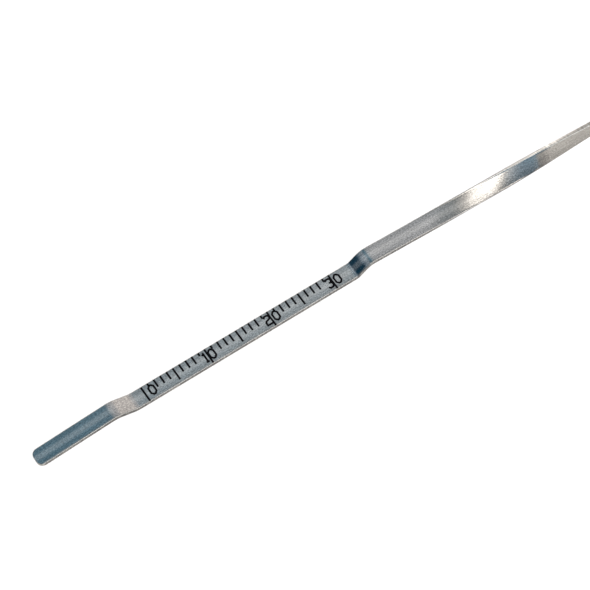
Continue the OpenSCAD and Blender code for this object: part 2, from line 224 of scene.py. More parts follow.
def rod_cutter(start, end, radius, end_radius=None):
    """A round rod, or a cone, between two points."""
    start, end = Vector(start), Vector(end)
    axis = end - start
    bm = bmesh.new()
    end_radius = radius if end_radius is None else end_radius
    bmesh.ops.create_cone(bm, cap_ends=True, segments=ROD_STEPS, radius1=radius, radius2=end_radius,
                          depth=axis.length)
    turn = axis.to_track_quat("Z", "Y").to_matrix().to_4x4()
    bmesh.ops.transform(bm, matrix=turn, verts=bm.verts)
    bmesh.ops.translate(bm, vec=(start + end) / 2, verts=bm.verts)
    return make_object("cut_rod", bm)


def cut(obj, cutters):
    """Takes the cutters away from a piece and deletes them."""
    for c in cutters:
        mod = obj.modifiers.new("cut", "BOOLEAN")
        mod.operation = "DIFFERENCE"
        mod.solver = "EXACT"
        mod.object = c
    apply_modifiers(obj)
    for c in cutters:
        bpy.data.objects.remove(c)
    finish_normals(obj)


def install(obj, mat, body, node):
    """Gives a piece its material and its body, and hides the CAD node that it stands for."""
    obj.data.materials.clear()
    obj.data.materials.append(mat)
    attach(obj, body)
    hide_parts(node)


SHARP_ANGLE = math.radians(32)


def finish_normals(obj):
    """Turns the faces outward and smooths all but the sharp edges."""
    bm = bmesh.new()
    bm.from_mesh(obj.data)
    bmesh.ops.recalc_face_normals(bm, faces=bm.faces)
    for f in bm.faces:
        f.smooth = True
    for e in bm.edges:
        e.smooth = not (len(e.link_faces) == 2 and e.calc_face_angle(0) > SHARP_ANGLE)
    bm.to_mesh(obj.data)
    bm.free()


def apply_modifiers(obj):
    bpy.context.view_layer.update()
    graph = bpy.context.evaluated_depsgraph_get()
    mesh = bpy.data.meshes.new_from_object(obj.evaluated_get(graph))
    obj.modifiers.clear()
    old = obj.data
    obj.data = mesh
    bpy.data.meshes.remove(old)


# ---------------------------------------------------------------- node helpers
class Nodes:
    """A material's or world's node tree, with short calls to build it."""

    def __init__(self, owner):
        owner.use_nodes = True
        self.tree = owner.node_tree
        self.tree.nodes.clear()

    def add(self, kind, **settings):
        node = self.tree.nodes.new(kind)
        for key, value in settings.items():
            setattr(node, key, value)
        return node

    def link(self, a, b):
        self.tree.links.new(a, b)

    def feed(self, socket, value):
        if isinstance(value, bpy.types.NodeSocket):
            self.link(value, socket)
        else:
            socket.default_value = value

    def math(self, op, a, b=0.0):
        node = self.add("ShaderNodeMath", operation=op)
        self.feed(node.inputs[0], a)
        self.feed(node.inputs[1], b)
        return node.outputs[0]

    def ramp(self, value, stops, ease="EASE"):
        node = self.add("ShaderNodeValToRGB")
        node.color_ramp.interpolation = ease
        elements = node.color_ramp.elements
        while len(elements) < len(stops):
            elements.new(0.5)
        for element, (place, colour) in zip(elements, stops):
            element.position = place
            element.color = (*colour, 1.0)
        self.feed(node.inputs[0], value)
        return node.outputs[0]

    def span(self, value, low, high, to_low=0.0, to_high=1.0):
        node = self.add("ShaderNodeMapRange", interpolation_type="SMOOTHSTEP")
        for socket, v in zip(node.inputs, (value, low, high, to_low, to_high)):
            self.feed(socket, v)
        return node.outputs[0]

    def total(self, *terms):
        value = terms[0]
        for term in terms[1:]:
            value = self.math("ADD", value, term)
        return value

    def times(self, *factors):
        value = factors[0]
        for factor in factors[1:]:
            value = self.math("MULTIPLY", value, factor)
        return value

    def mix(self, factor, a, b):
        node = self.add("ShaderNodeMix", data_type="RGBA")
        self.feed(node.inputs[0], factor)
        self.feed(node.inputs[6], a)
        self.feed(node.inputs[7], b)
        return node.outputs[2]

    def place(self, scale=(1, 1, 1), turn=(0, 0, 0)):
        """Object coordinates in millimetres, stretched."""
        coords = self.add("ShaderNodeTexCoord")
        mapping = self.add("ShaderNodeMapping")
        mapping.inputs["Scale"].default_value = [s / MM for s in scale]
        mapping.inputs["Rotation"].default_value = turn
        self.link(coords.outputs["Object"], mapping.inputs["Vector"])
        return mapping.outputs["Vector"]

    def strip_place(self, scale):
        """The blade's own millimetres, along and across the strip, stretched."""
        mapping = self.add("ShaderNodeMapping")
        mapping.inputs["Scale"].default_value = scale
        self.link(self.add("ShaderNodeUVMap", uv_map="strip").outputs["UV"], mapping.inputs["Vector"])
        return mapping.outputs["Vector"]

    def strip_axes(self):
        """Millimetres from the zero line along the strip, and from its middle towards its far edge."""
        split = self.add("ShaderNodeSeparateXYZ")
        self.link(self.add("ShaderNodeUVMap", uv_map="strip").outputs["UV"], split.inputs[0])
        return split.outputs[0], split.outputs[1]

    def noise(self, vector, detail=3.0, rough=0.55):
        node = self.add("ShaderNodeTexNoise")
        self.link(vector, node.inputs["Vector"])
        node.inputs["Scale"].default_value = 1.0
        node.inputs["Detail"].default_value = detail
        node.inputs["Roughness"].default_value = rough
        return node.outputs["Fac"]

    def bump(self, height, distance):
        node = self.add("ShaderNodeBump")
        node.inputs["Strength"].default_value = 1.0
        node.inputs["Distance"].default_value = distance
        self.link(height, node.inputs["Height"])
        return node.outputs["Normal"]


def principled(nodes, **values):
    """A Principled shader's output; a value may be a number, a colour or another node's output."""
    node = nodes.add("ShaderNodeBsdfPrincipled")
    for key, value in values.items():
        nodes.feed(node.inputs[key.replace("_", " ")], value)
    return node.outputs[0]


def show(nodes, surface):
    """Makes a shader the material's surface."""
    out = nodes.add("ShaderNodeOutputMaterial")
    nodes.link(surface, out.inputs["Surface"])


def grey(v):
    return (v, v, v, 1.0)


# ---------------------------------------------------------------- materials
# Drop of the strip's faces towards their edges, in mm per mm squared: plain, added in the twist, past it
CROWN = 0.014
TWIST_CROWN = 0.019
END_CROWN = -0.0085
RAMP_MIDDLE = -3.6
# Cross marks from the press as (place, width, rise) in mm
DIE_MARKS = (
    (-2.15, 0.07, 0.0035), (-1.75, 0.06, 0.004), (-1.45, 0.05, 0.003),
    (32.95, 0.07, 0.006), (42.0, 0.05, -0.004),
)


def strip_scuff(n, along, edge, grain):
    """A paler scuffed band along the middle; it is weak on the first ramp and dies out in the twist."""
    waver = n.times(n.math("SUBTRACT", grain, 0.5), 0.35)
    band = n.span(n.total(edge, waver), 0.08, 0.72, 1.0, 0.0)
    on_ramp = n.span(n.math("ABSOLUTE", n.math("SUBTRACT", along, RAMP_MIDDLE)), 1.3, 2.0, 0.25, 1.0)
    return n.times(band, n.span(along, 54.0, 61.0, 1.0, 0.1), on_ramp)


def strip_edge_finish_and_painted_light(n, along, across, edge):
    """How much lighter or darker the steel is at its edges and across the twist: mostly painted light,
    namely a painted reflection across the twist, painted shade on the side faces (partly a darker
    sheared-edge finish), a painted highlight on the rounded corners, a painted dark reflection band at the
    twist's end and painted shade on the near corner.
    """
    # Painted reflection: across the twist the near half of the face is painted darker and the far half
    # lighter.
    painted_twist_reflection = n.times(n.span(along, 52.5, 55.5, 0.0, 0.16), n.span(along, 63.0, 66.5, 1.0, 0.3))
    painted_twist_reflection = n.times(n.span(across, -1.2, 1.2, -1.0, 1.0), painted_twist_reflection)
    # Painted shade on the side faces up to the twist, standing in for the shadowed floor they mirror; partly
    # also a darker sheared-edge finish.
    side = n.times(n.span(edge, 1.235, 1.248), n.span(along, 57.0, 61.0, -0.34, 0.02))
    # Painted highlight: the rounded corners and sides are painted lighter, to brighten the corner's
    # highlight line.
    rim = n.span(edge, 1.14, 1.19, 0.0, 0.12)
    # Painted reflection, not a stain: a dark band painted across the strip from 64 to 66.8 mm, where the
    # room's reflection turns from dark to floor.
    stain = n.times(n.span(along, 64.0, 64.6, 0.0, -1.0), n.span(along, 65.2, 66.8, 0.2, 0.0))
    # Painted shade: the near corner is painted darker from 55.5 mm to the twist's end.
    corner = n.times(n.span(across, -1.2, -1.12, -0.6, 0.0), n.span(along, 55.5, 58.0))
    corner = n.times(corner, n.span(along, 64.0, 66.5, 1.0, 0.0))
    return n.total(painted_twist_reflection, side, rim, stain, corner)


def strip_relief(n, along, across, edge, texture):
    """Height of the surface in mm: its texture, the press's cross marks, and its crown."""
    face = n.span(edge, 1.0, 1.15, 1.0, 0.1)
    height = n.times(texture, face)
    for place, width, rise in DIE_MARKS:
        off = n.math("ABSOLUTE", n.math("SUBTRACT", along, place))
        height = n.total(height, n.span(off, 0.0, width, rise, 0.0))
    crown = n.times(n.span(along, 53.0, 58.0, 0.0, TWIST_CROWN), n.span(along, 60.0, 64.0, 1.0, 0.0))
    crown = n.total(crown, n.span(along, 61.0, 64.5, CROWN, END_CROWN))
    return n.math("SUBTRACT", height, n.times(across, across, crown, face))


def strip_steel():
    """Rolled strip: coordinates are the blade's UV map, millimetres along and across the strip."""
    mat = bpy.data.materials.new("strip_steel")
    n = Nodes(mat)
    along, across = n.strip_axes()
    edge = n.math("ABSOLUTE", across)
    grain = n.noise(n.strip_place((0.3, 6.0, 1.0)), detail=3)
    brushing = n.noise(n.strip_place((6.0, 0.25, 1.0)), detail=2)
    flecks = n.noise(n.strip_place((3.4, 6.5, 1.0)), detail=4, rough=0.7)
    cloud = n.noise(n.strip_place((0.25, 0.6, 1.0)), detail=2)
    scuff = strip_scuff(n, along, edge, grain)
    mottle = n.total(n.times(grain, 0.4), n.times(flecks, 1.3), n.times(cloud, 0.2), -0.45)
    # The tone carries painted light from the edge and twist terms: painted reflections, a painted highlight
    # and painted shade.
    tone = n.total(mottle, n.times(scuff, 0.11), strip_edge_finish_and_painted_light(n, along, across, edge))
    colour = n.ramp(tone, [
        (0.2, (0.134, 0.126, 0.116)), (0.5, (0.335, 0.315, 0.288)), (0.8, (0.535, 0.503, 0.46)),
    ], ease="LINEAR")
    rough = n.span(flecks, 0.3, 0.7, 0.11, 0.17)
    metal = n.span(scuff, 0.0, 1.0, 0.995, 0.88)
    texture = n.total(n.times(brushing, 0.0034), n.times(flecks, 0.0018), n.times(grain, 0.001))
    height = strip_relief(n, along, across, edge, texture)
    show(n, principled(n, Base_Color=colour, Metallic=metal, Roughness=rough, Specular_Tint=grey(0.65),
                       Normal=n.bump(height, MM)))
    return mat


def scale_ink():
    mat = bpy.data.materials.new("scale_ink")
    n = Nodes(mat)
    wear = n.noise(n.place((4.0, 4.0, 4.0)), detail=4)
    colour = n.ramp(wear, [(0.35, (0.001, 0.0012, 0.0014)), (0.75, (0.005, 0.0055, 0.0065))])
    rough = n.span(wear, 0.3, 0.8, 0.6, 0.85)
    show(n, principled(n, Base_Color=colour, Roughness=rough, Specular_IOR_Level=0.03,
                       Normal=n.bump(wear, 0.01 * MM)))
    return mat


def turned_metal(name, dark, light, rough_low, rough_high):
    """Turned metal with rings about the X axis and a little staining."""
    mat = bpy.data.materials.new(name)
    n = Nodes(mat)
    rings = n.noise(n.place((9.0, 0.15, 0.15)), detail=3)
    stain = n.noise(n.place((0.35, 0.35, 0.35)), detail=5)
    tone = n.total(n.times(rings, 0.4), n.times(stain, 0.6))
    colour = n.ramp(tone, [(0.3, dark), (0.7, light)])
    rough = n.span(stain, 0.3, 0.7, rough_low, rough_high)
    show(n, principled(n, Base_Color=colour, Metallic=1.0, Roughness=rough,
                       Normal=n.bump(rings, 0.006 * MM)))
    return mat


def plastic(name, dark, light, rough_low, rough_high, grain):
    """Moulded plastic with a fine spark-eroded texture and a few pale, smoother scuffs."""
    mat = bpy.data.materials.new(name)
    n = Nodes(mat)
    fine = n.noise(n.place((grain, grain, grain)), detail=2)
    soft = n.noise(n.place((0.12, 0.12, 0.12)), detail=4)
    scuffs = n.span(n.noise(n.place((0.5, 5.0, 5.0), turn=(0.0, 0.0, 0.6)), detail=3), 0.64, 0.74)
    colour = n.ramp(soft, [(0.3, dark), (0.7, light)])
    colour = n.mix(n.times(scuffs, 0.35), colour, (*[2.2 * c for c in light], 1.0))
    rough = n.total(n.span(soft, 0.3, 0.7, rough_low, rough_high), n.times(scuffs, -0.12))
    show(n, principled(n, Base_Color=colour, Roughness=rough, Normal=n.bump(fine, 0.02 * MM)))
    return mat


FLOOR_NEAR = 0.25
FLOOR_FAR = 0.6


def pale_floor():
    """The white ground; far off, it glows evenly and runs into the white backdrop."""
    mat = bpy.data.materials.new("pale_floor")
    n = Nodes(mat)
    surface = principled(n, Base_Color=grey(0.93), Roughness=0.9, Specular_IOR_Level=0.0)
    off = n.add("ShaderNodeVectorMath", operation="LENGTH")
    n.link(n.add("ShaderNodeTexCoord").outputs["Object"], off.inputs[0])
    far = n.span(off.outputs["Value"], FLOOR_NEAR, FLOOR_FAR)
    glow = n.add("ShaderNodeEmission")
    glow.inputs["Color"].default_value = grey(1.0)
    blend = n.add("ShaderNodeMixShader")
    n.link(far, blend.inputs[0])
    n.link(surface, blend.inputs[1])
    n.link(glow.outputs[0], blend.inputs[2])
    show(n, blend.outputs[0])
    return mat


# ---------------------------------------------------------------- the blade
EDGE_STEPS = 5
FACE_STEPS = 8
HOLD = 0.05 * MM
TIP_STEPS = 14
TWIST_STEPS = 90
BEND_STEP = 0.8
LEAST_BEND_STEPS = 8
CLOSEST = 0.004


def half_width(x):
    """Half the strip's width at x mm: full, except round the tip's corners."""
    d = min((x * MM + ZERO_X - TIP_X), TIP_R)
    return STRIP_W / 2 - TIP_R + math.sqrt(max(TIP_R * TIP_R - (TIP_R - d) ** 2, 0.0))


def half_thick(x):
    """Half the strip's thickness at x mm: full, except where the tip's end is rounded over."""
    d = min((x * MM + ZERO_X - TIP_X), EDGE_R)
    return STRIP_T / 2 - EDGE_R + math.sqrt(max(EDGE_R * EDGE_R - (EDGE_R - d) ** 2, 0.0))


def strip_section(hw, ht):
    """The strip's rounded section as (across, up) points."""
    r = min(EDGE_R, ht, hw)
    points = []
    for cy, cz, start in ((1, 1, 0), (-1, 1, 90), (-1, -1, 180), (1, -1, 270)):
        for i in range(EDGE_STEPS + 1):
            a = math.radians(start + 90 * i / EDGE_STEPS)
            points.append((cy * (hw - r) + r * math.cos(a), cz * (ht - r) + r * math.sin(a)))
        if start in (0, 180):
            sign = 1 if start == 0 else -1
            inner = hw - r - HOLD
            for k in range(FACE_STEPS + 1):
                points.append((sign * inner * (1 - 2 * k / FACE_STEPS), sign * ht))
    return points


def quarter(start, length, steps):
    """Places that close up towards the start, as points along a quarter circle do."""
    return [start + length * (1 - math.cos(math.radians(90 * i / steps))) for i in range(steps + 1)]


def stations():
    """Places along the strip that get a ring of points, in mm from the zero line."""
    tip = (TIP_X - ZERO_X) / MM
    end = (TANG_X - ZERO_X) / MM
    places = quarter(tip, TIP_R / MM, TIP_STEPS) + quarter(tip, EDGE_R / MM, EDGE_STEPS)
    for (xa, sa), (xb, sb) in zip(KNOTS, KNOTS[1:]):
        steps = 1 if sa == sb else max(LEAST_BEND_STEPS, int((xb - xa) / BEND_STEP))
        places += [xa + (xb - xa) * i / steps for i in range(steps + 1)]
    places += [TWIST_FROM + (TWIST_TO - TWIST_FROM) * i / TWIST_STEPS for i in range(TWIST_STEPS + 1)]
    kept = []
    for p in sorted(places):
        if tip <= p <= end and (not kept or p - kept[-1] > CLOSEST):
            kept.append(p)
    return kept


def strip_ring(x):
    """The strip's section at x mm, turned by the twist and square to the strip's slope."""
    up = Vector((-slope_at(x), 0, 1)).normalized()
    across = Vector((0, 1, 0))
    a = turn_at(x)
    w = math.cos(a) * across + math.sin(a) * up
    t = math.cos(a) * up - math.sin(a) * across
    c = centre(x)
    return [c + y * w + z * t for y, z in strip_section(half_width(x), half_thick(x))]


SCALE_NODES = (
    "tens_lines", "five_lines", "unit_lines", "numeral_0", "numeral_10", "numeral_20", "numeral_30",
)
SETTING_NODES = ("setting_lines", "setting_numerals")


GROOVE_OVER = 0.2 * MM
FLOOR_SHARE = 0.1
WELD = 1e-7


def groove(node, direction):
    """A copy of a filling's solid, stretched out of the strip, to cut its groove with."""
    bm = bmesh.new()
    bm.from_mesh(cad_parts[node].data)
    bmesh.ops.remove_doubles(bm, verts=bm.verts, dist=WELD)
    axis = max(range(3), key=lambda i: abs(direction[i]))
    sign = 1 if direction[axis] > 0 else -1
    reach = max(sign * v.co[axis] for v in bm.verts)
    floor_at = min(sign * v.co[axis] for v in bm.verts)
    for v in bm.verts:
        if sign * v.co[axis] > floor_at + FLOOR_SHARE * (reach - floor_at):
            v.co[axis] += sign * GROOVE_OVER
    return make_object("cut_" + node, bm)


def map_strip(obj):
    """Gives the blade a UV map in millimetres: along the strip, and across it after the twist."""
    layer = obj.data.uv_layers.new(name="strip")
    for loop in obj.data.loops:
        p = obj.data.vertices[loop.vertex_index].co
        x = (p.x - ZERO_X) / MM
        a = turn_at(x)
        off = p - centre(x)
        layer.data[loop.index].uv = (x, (off.y * math.cos(a) + off.z * math.sin(a)) / MM)


def build_blade(steel):
    """The strip, with a real groove under each filling."""
    bm = bmesh.new()
    loft(bm, [strip_ring(x) for x in stations()])
    obj = make_object("strip", bm)
    finish_normals(obj)
    grooves = [groove(name, (0, 0, 1)) for name in SCALE_NODES]
    cut(obj, grooves + [groove(name, (0, -1, 0)) for name in SETTING_NODES])
    map_strip(obj)
    install(obj, steel, "stick", "blade")


# ---------------------------------------------------------------- the setting ring
SLIDE_GAP = 0.03 * MM
RING_R = 5.0 * MM
NOSE_R = 3.0 * MM
NOSE_L = 2.5 * MM
RING_FLAT = 3.5 * MM
FLUTES = 24
FLUTE_STEPS = 24
FLUTE_R = 0.35 * MM
FLUTE_FADE = 0.5 * MM
BORE_R = 1.0 * MM
BORE_BEVEL = 0.15 * MM
CHAMFER = 0.5 * MM
UNDERCUT_L = 0.4 * MM
UNDERCUT_D = 0.2 * MM
DISH_EDGE = 1.6 * MM
DISH_D = 0.15 * MM
FLANGE_END = 0.9 * MM
FLANGE_STEPS = 28
FLAT_POWER = 60


def ring_shape(flange):
    """Radius of the flange with its two flats and its flutes, which fade out before its ends."""
    start, end = flange

    def shape(x, r, a):
        flats = (r * abs(math.sin(a)) / RING_FLAT) ** FLAT_POWER
        r *= (1 + flats) ** (-1 / FLAT_POWER)
        pitch = 2 * math.pi / FLUTES
        middle = (math.floor(a / pitch) + 0.5) * pitch
        up = abs(RING_R * math.sin(middle))
        off = RING_R * abs(a - middle)
        if off < FLUTE_R and BORE_R < up < RING_FLAT - FLUTE_R:
            inside = min(x - start, end - x) - 2 * FLUTE_FADE
            fade = min(max(inside / FLUTE_FADE, 0.0), 1.0)
            r -= fade * (3 - 2 * fade) * fade * math.sqrt(FLUTE_R ** 2 - off ** 2)
        return r

    return shape


def build_ring(brass):
    """The stop: a nose for the tube, a fluted flange with two flats, the slot and the radial bore."""
    low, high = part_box("setting_ring")
    start, end = low.x + NOSE_L, high.x
    neck_r = NOSE_R - UNDERCUT_D
    profile = rounded([
        (low.x, NOSE_R - 1.5 * CHAMFER, 0),
        (low.x, NOSE_R - CHAMFER, 0.1 * MM),
        (low.x + CHAMFER, NOSE_R, 0.12 * MM),
        (start - UNDERCUT_L - 0.05 * MM, NOSE_R, 0.05 * MM),
        (start - UNDERCUT_L, neck_r, 0.03 * MM),
        (start, neck_r, 0.05 * MM),
        (start, RING_R - CHAMFER, 0.1 * MM),
        (start + CHAMFER, RING_R, 0.15 * MM),
        (end, RING_R, 0),
    ])[:-1]
    run = (end - start - 2 * FLANGE_END) / FLANGE_STEPS
    profile += [(start + FLANGE_END + run * i, RING_R) for i in range(FLANGE_STEPS + 1)]
    profile += rounded([
        (start, RING_R, 0),
        (end - CHAMFER, RING_R, 0.15 * MM),
        (end, RING_R - CHAMFER, 0.1 * MM),
        (end, RING_R - DISH_EDGE, 0.05 * MM),
        (end - DISH_D, RING_R - DISH_EDGE - DISH_D, 0),
    ])[1:]
    obj = turned("ring", profile, FLUTES * FLUTE_STEPS, ring_shape((start, end)))
    slot_y, slot_z = STRIP_T / 2 + SLIDE_GAP, STRIP_W / 2 + SLIDE_GAP
    middle = (start + end) / 2
    cut(obj, [
        box_cutter((low.x - MM, -slot_y, SHANK_Z - slot_z), (high.x + MM, slot_y, SHANK_Z + slot_z)),
        rod_cutter((middle, 0, SHANK_Z), (middle, 2 * RING_R, SHANK_Z), BORE_R),
        rod_cutter((middle, RING_R - BORE_BEVEL, SHANK_Z), (middle, RING_R + MM, SHANK_Z),
                   BORE_R, BORE_R + MM + BORE_BEVEL),
    ])
    install(obj, brass, "ring", "setting_ring")


# ---------------------------------------------------------------- the ferrule
FERRULE_R = 2.6 * MM
RIM_R = 3.2 * MM
RIM_L = 1.0 * MM
CRIMP_R = 2.3 * MM
CRIMP_FADE = 0.6 * MM
CRIMP_FROM = 2.6 * MM
CRIMP_GAP = 0.7 * MM
CRIMP_STEPS = 24
SLEEVE_STEPS = 144
GROOVES = 2
GROOVE_AT = 1.1 * MM
GROOVE_PITCH = 0.7 * MM
GROOVE_D = 0.14 * MM
GROOVE_W = 0.38 * MM
GROOVE_WALL = 0.08 * MM
GROOVE_R = 0.04 * MM


def crimp_shape(start, end):
    """Presses the sleeve to six flats between two places."""

    def shape(x, r, a):
        depth = min(max(min(x - start, end - x) / CRIMP_FADE, 0.0), 1.0)
        depth = depth * depth * (3 - 2 * depth)
        off = (a + math.pi / 6) % (math.pi / 3) - math.pi / 6
        flat = min(r, CRIMP_R / math.cos(off))
        return r + (flat - r) * depth

    return shape


def build_ferrule(steel):
    """The sleeve on the strip: two grooves, a six-sided crimp, a rim, and a spigot inside the handle."""
    low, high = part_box("ferrule")
    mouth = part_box("handle_top")[0].x
    rim = mouth - RIM_L
    corners = [
        (low.x, FERRULE_R - 0.8 * MM, 0),
        (low.x, FERRULE_R - CHAMFER, 0.12 * MM),
        (low.x + CHAMFER, FERRULE_R, 0.15 * MM),
    ]
    for i in range(GROOVES):
        x = low.x + GROOVE_AT + i * GROOVE_PITCH
        floor_r = FERRULE_R - GROOVE_D
        corners += [
            (x, FERRULE_R, GROOVE_R),
            (x + GROOVE_WALL, floor_r, GROOVE_R),
            (x + GROOVE_W - GROOVE_WALL, floor_r, GROOVE_R),
            (x + GROOVE_W, FERRULE_R, GROOVE_R),
        ]
    start, end = low.x + CRIMP_FROM, rim - CRIMP_GAP
    profile = rounded(corners + [(rim, FERRULE_R, 0)])[:-1]
    profile += [(start + (end - start) * i / CRIMP_STEPS, FERRULE_R) for i in range(CRIMP_STEPS + 1)]
    profile += rounded([
        (end, FERRULE_R, 0),
        (rim, FERRULE_R, 0.12 * MM),
        (rim, RIM_R, 0.15 * MM),
        (mouth, RIM_R, 0.15 * MM),
        (mouth, FERRULE_R, 0.03 * MM),
        (high.x, FERRULE_R, 0),
    ])[1:]
    obj = turned("sleeve", profile, SLEEVE_STEPS, crimp_shape(start, end))
    half_t, half_w = STRIP_T / 2, STRIP_W / 2
    cut(obj, [box_cutter((low.x - MM, -half_t, SHANK_Z - half_w), (high.x + MM, half_t, SHANK_Z + half_w))])
    install(obj, steel, "stick", "ferrule")


# ---------------------------------------------------------------- the handle
LOOP_HOLE_R = 9.5 * MM
NECK_HALF = 3.6 * MM
NECK_WIDE = 7.5 * MM
NECK_L = 17.0 * MM
MEET = 3.0 * MM
CORNER = 1.4 * MM
SHELL_ROUND = 1.3 * MM
PARTING = 0.14 * MM
DRAFT = 0.05 * MM
HANDLE_STEPS = 384
GATHER = 0.6
HALVINGS = 40
WALL_STEPS = 8
FACE_RINGS = 72
REST_FROM = 3.0
REST_TO = 13.4
RIB_PITCH = 1.3
RIB_D = 0.28 * MM
RIB_FADE = 0.5 * MM
NECK_SCREW = 15.0 * MM
SCREW_ANGLE = math.radians(52)
SCREW_R = 0.8 * MM
HEAD_R = 1.5 * MM
HEAD_H = 1.0 * MM
INSERT_R = 1.3 * MM
INSERT_L = 2.4 * MM
MOUTH_BEVEL = 0.2 * MM
HEAD_PLAY = 0.02 * MM
CROSS_REACH = 0.85 * MM
CROSS_HALF = 0.18 * MM
CROSS_D = 0.5 * MM


def soft_max(a, b, reach):
    """The larger of two distances, blended where they are within reach of each other."""
    mixed = max(reach - abs(a - b), 0.0) / reach
    return max(a, b) + mixed * mixed * reach / 4


class Handle:
    """The handle's plan: a loop with a tapered neck, seen from the loop's centre."""

    def __init__(self):
        self.low, self.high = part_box("handle_top")
        self.radius = (self.high.y - self.low.y) / 2
        self.centre_x = self.high.x - self.radius
        self.height = self.high.z - self.low.z
        reach = (self.radius + LOOP_HOLE_R) / 2
        x, y = self.centre_x + reach * math.cos(SCREW_ANGLE), reach * math.sin(SCREW_ANGLE)
        self.screws = [(self.low.x + NECK_SCREW, 0.0), (x, y), (x, -y)]

    def inside(self, x, y):
        """Distance in from the outer outline."""
        loop = self.radius - math.hypot(x - self.centre_x, y)
        slope = (NECK_WIDE - NECK_HALF) / NECK_L
        side = (NECK_HALF + (x - self.low.x) * slope - abs(y)) / math.hypot(1, slope)
        neck = -soft_max(-(x - self.low.x), -side, CORNER)
        neck = min(neck, self.centre_x - x)
        return soft_max(loop, neck, MEET)

    def outline(self, angle, inset):
        """Distance from the loop's centre to the outline drawn in by an inset."""
        near, far = LOOP_HOLE_R, self.high.x - self.low.x
        for _ in range(HALVINGS):
            middle = (near + far) / 2
            at = (self.centre_x + middle * math.cos(angle), middle * math.sin(angle))
            if self.inside(*at) > inset:
                near = middle
            else:
                far = middle
        return near

    def angles(self):
        """Directions from the loop's centre, closer together towards the neck's end."""
        turns = [2 * math.pi * k / HANDLE_STEPS for k in range(HANDLE_STEPS)]
        return [u + GATHER * math.sin(u) for u in turns]

    def sink(self, x, inset):
        """How far the face is sunk: ribs across a shallow thumb rest on the neck."""
        along = (x - self.low.x) / MM
        if not REST_FROM < along < REST_TO:
            return 0.0
        rib = 0.5 - 0.5 * math.cos(2 * math.pi * (along - REST_FROM) / RIB_PITCH)
        edge = min(max((inset - SHELL_ROUND) / RIB_FADE, 0.0), 1.0)
        return RIB_D * rib * edge * edge * (3 - 2 * edge)

    def shell_rings(self):
        """Rings of (x, y, height above the parting plane) round the shell's section."""
        wall = [(PARTING, 0.0), (0.0, PARTING)]
        for k in range(WALL_STEPS + 1):
            a = math.radians(90 * k / WALL_STEPS)
            inset = DRAFT + SHELL_ROUND * (1 - math.cos(a))
            wall.append((inset, self.height - SHELL_ROUND * (1 - math.sin(a))))
        angles = self.angles()
        rings = [[(self.outline(a, inset), height) for a in angles] for inset, height in wall]
        outer = rings[-1]
        inner = LOOP_HOLE_R + wall[-1][0]
        for k in range(1, FACE_RINGS):
            t = k / FACE_RINGS
            row = []
            for a, (reach, height) in zip(angles, outer):
                r = reach + (inner - reach) * t
                x, y = self.centre_x + r * math.cos(a), r * math.sin(a)
                row.append((r, height - self.sink(x, self.inside(x, y))))
            rings.append(row)
        for inset, height in reversed(wall):
            rings.append([(LOOP_HOLE_R + inset, height)] * len(angles))
        return [
            [(self.centre_x + r * math.cos(a), r * math.sin(a), h) for a, (r, h) in zip(angles, ring)]
            for ring in rings
        ]


def socket_cutters(handle):
    """The hollows for the ferrule, the tang and its pin."""
    mouth = handle.low.x
    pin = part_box("tang_pin")
    pin_x, pin_r = (pin[0].x + pin[1].x) / 2, (pin[1].x - pin[0].x) / 2
    half_t, half_w = STRIP_T / 2, STRIP_W / 2
    return [
        rod_cutter((mouth - MM, 0, SHANK_Z), (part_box("ferrule")[1].x, 0, SHANK_Z), FERRULE_R),
        box_cutter((mouth, -half_t, SHANK_Z - half_w), (TANG_X, half_t, SHANK_Z + half_w)),
        rod_cutter((pin_x, pin[0].y, SHANK_Z), (pin_x, pin[1].y, SHANK_Z), pin_r),
    ]


def insert_pocket():
    """Profile of the top shell's pocket for a brass insert."""
    return [(SHANK_Z - MM, INSERT_R), (SHANK_Z + INSERT_L, INSERT_R)]


def screw_pocket():
    """Profile of the bottom shell's hole for a screw, with a bevelled pocket for its head."""
    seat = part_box("handle_screws")[0].z + HEAD_H
    mouth_r = HEAD_R + MOUTH_BEVEL
    return [
        (-MM, mouth_r), (0.0, mouth_r), (MOUTH_BEVEL, HEAD_R), (seat, HEAD_R), (seat, SCREW_R),
        (SHANK_Z + MM, SCREW_R),
    ]


def build_shell(handle, rings, name, node, side, pocket, mat):
    """One shell of the handle: side is 1 above the parting plane and -1 below it."""
    bm = bmesh.new()
    loft(bm, [[Vector((x, y, SHANK_Z + side * h)) for x, y, h in ring] for ring in rings], wrap=True)
    obj = make_object(name, bm)
    finish_normals(obj)
    cutters = socket_cutters(handle)
    for x, y in handle.screws:
        bm = bmesh.new()
        upright(bm, x, y, pocket)
        cutters.append(make_object("cut_pocket", bm))
    cut(obj, cutters)
    install(obj, mat, "stick", node)


def build_screws(handle, steel):
    """The three screws as one piece: domed heads with a cross recess, shanks up into the inserts."""
    low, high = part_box("handle_screws")
    bm = bmesh.new()
    brim = HEAD_R - HEAD_PLAY
    profile = rounded([
        (low.z, 0.4 * MM, 0), (low.z + 0.06 * MM, 1.0 * MM, 0.5 * MM), (low.z + 0.3 * MM, brim, 0.2 * MM),
        (low.z + HEAD_H, brim, 0.05 * MM), (low.z + HEAD_H, SCREW_R, 0.05 * MM), (high.z, SCREW_R, 0),
    ])
    for x, y in handle.screws:
        upright(bm, x, y, profile)
    obj = make_object("screws", bm)
    finish_normals(obj)
    cutters = []
    for x, y in handle.screws:
        for a, b in ((CROSS_REACH, CROSS_HALF), (CROSS_HALF, CROSS_REACH)):
            cutters.append(box_cutter((x - a, y - b, low.z - MM), (x + a, y + b, low.z + CROSS_D)))
    cut(obj, cutters)
    install(obj, steel, "stick", "handle_screws")


# ---------------------------------------------------------------- stage
FLOOR_SIZE = 3.0
FLOOR_GAP = 0.02 * MM


def build_floor():
    bm = bmesh.new()
    bmesh.ops.create_grid(bm, x_segments=2, y_segments=2, size=FLOOR_SIZE)
    floor = make_object("floor", bm)
    floor.location.z = cad_box[0][2] - FLOOR_GAP
    floor.data.materials.append(pale_floor())


